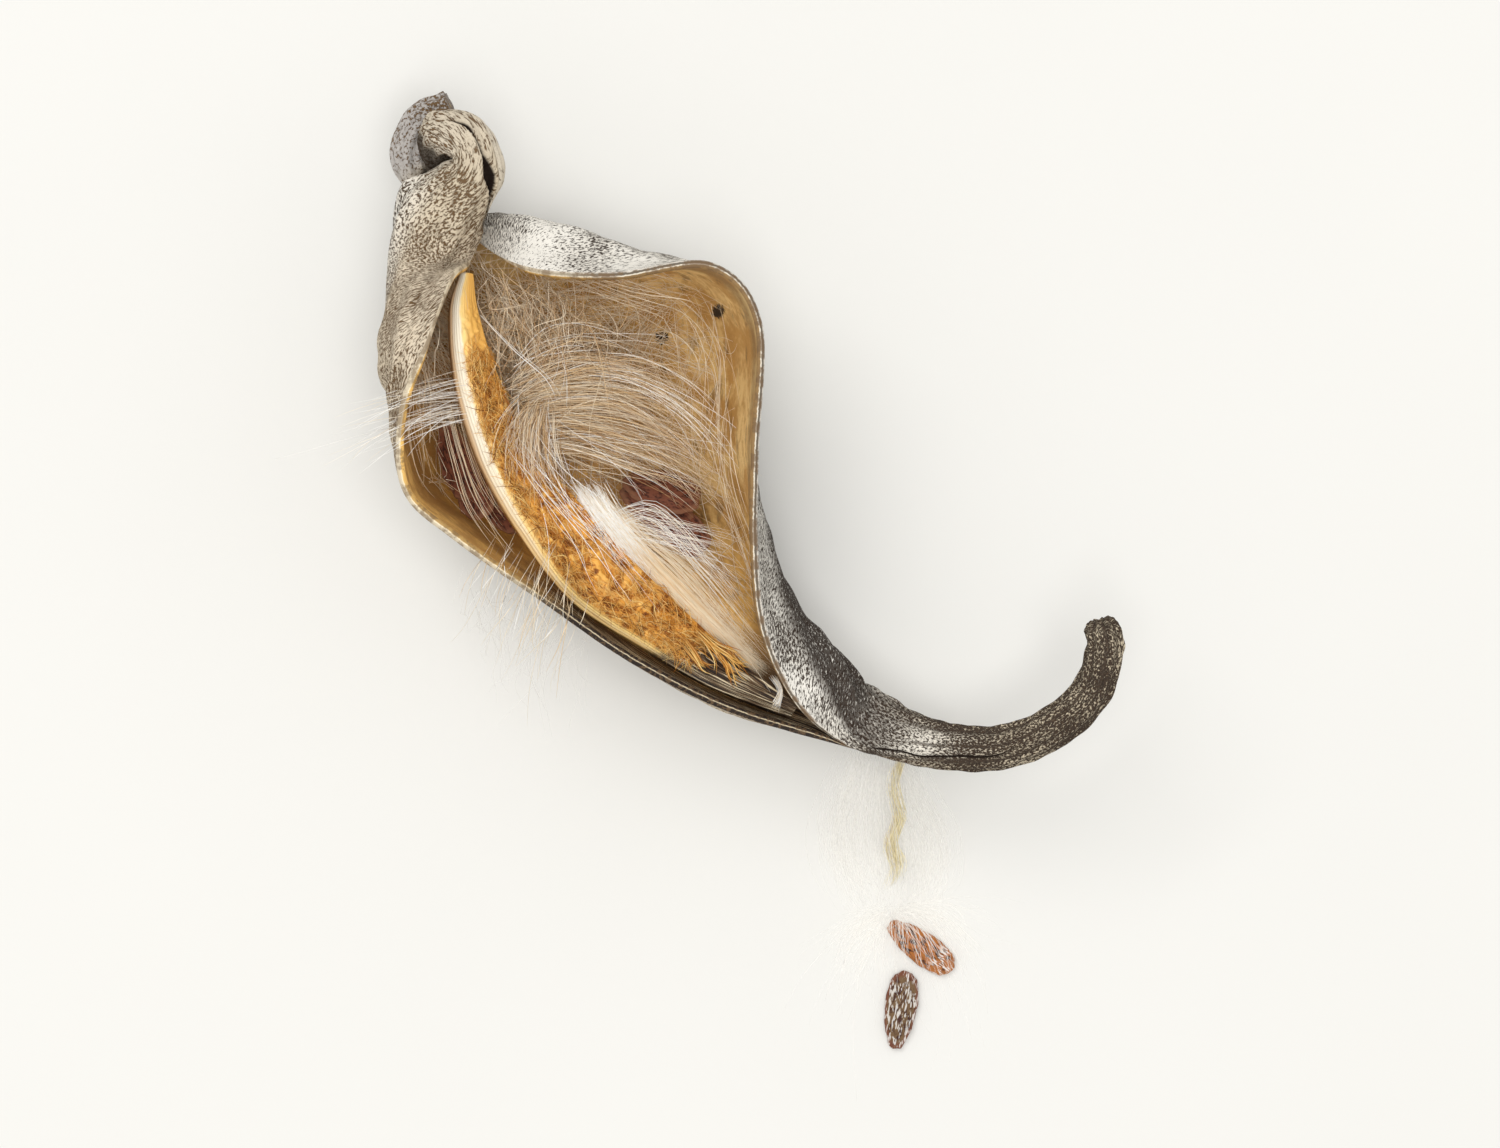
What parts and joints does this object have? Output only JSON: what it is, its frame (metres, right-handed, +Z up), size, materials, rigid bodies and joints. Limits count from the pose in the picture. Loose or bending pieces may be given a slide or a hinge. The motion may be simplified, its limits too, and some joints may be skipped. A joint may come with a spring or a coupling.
{
  "type": "milkweed seed pod",
  "caption": "Dry milkweed pod, split open along its suture and lying on its back, with its placenta, silk and seeds inside and loose seeds on a strand of silk.",
  "frame": {"origin": "middle of the bounding box, on the surface that the pod rests on", "axes": "+Z up, out of the pod's opening; the neck and stalk lie towards -X +Y, the curled tail towards +X -Y, and the loose seeds towards -Y"},
  "size_m": [0.0745, 0.0976, 0.0283],
  "materials": {
    "husk": "dry woolly skin, grey-white over brown-grey, with a golden tan lining",
    "placenta": "ivory rib with a golden netted face and a dark streaked strip",
    "silk": "fine lustrous cream floss",
    "seeds": "dull dark red-brown with a paler winged margin"
  },
  "bodies": {
    "root": {"husk": "husk", "placenta": "placenta", "silk_chamber": "silk", "silk_wisps": "silk", "silk_sheet": "silk", "silk_fan": "silk", "right_seeds": "seeds", "left_seeds": "seeds", "loose_silk": "silk", "loose_seed_upper": "seeds", "loose_seed_lower": "seeds"}
  },
  "joints": []
}
